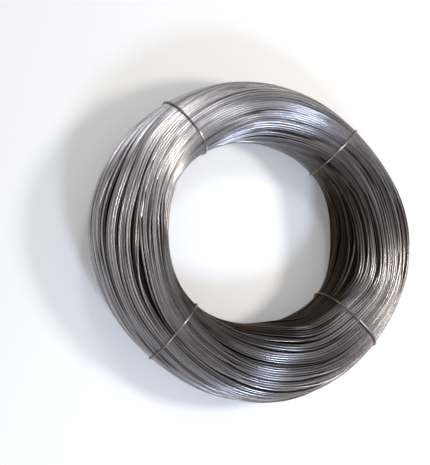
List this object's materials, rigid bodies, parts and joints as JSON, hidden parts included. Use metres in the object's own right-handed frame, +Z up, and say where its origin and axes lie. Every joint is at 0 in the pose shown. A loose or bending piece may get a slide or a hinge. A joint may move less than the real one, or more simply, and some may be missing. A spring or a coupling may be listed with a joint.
{
  "type": "coil of drawn steel wire rod",
  "caption": "Coil of bare drawn steel wire, wound as a ring with an oval section and an open bore, held by wire ties; paid off or cut to length as raw stock.",
  "frame": {"origin": "on the floor, under the middle of the coil's bounding box", "axes": "+Z up along the coil's axis, +X and +Y across it, with one tie near each side"},
  "size_m": [0.5966, 0.595, 0.1107],
  "materials": {
    "drawn_wire": "drawn wire with a dark bright skin, smooth along its length",
    "tie_wire": "dull annealed tie wire"
  },
  "bodies": {
    "root": {"wire_turns": "drawn_wire", "tie_right": "tie_wire", "tie_back": "tie_wire", "tie_left": "tie_wire", "tie_front": "tie_wire"}
  },
  "joints": []
}
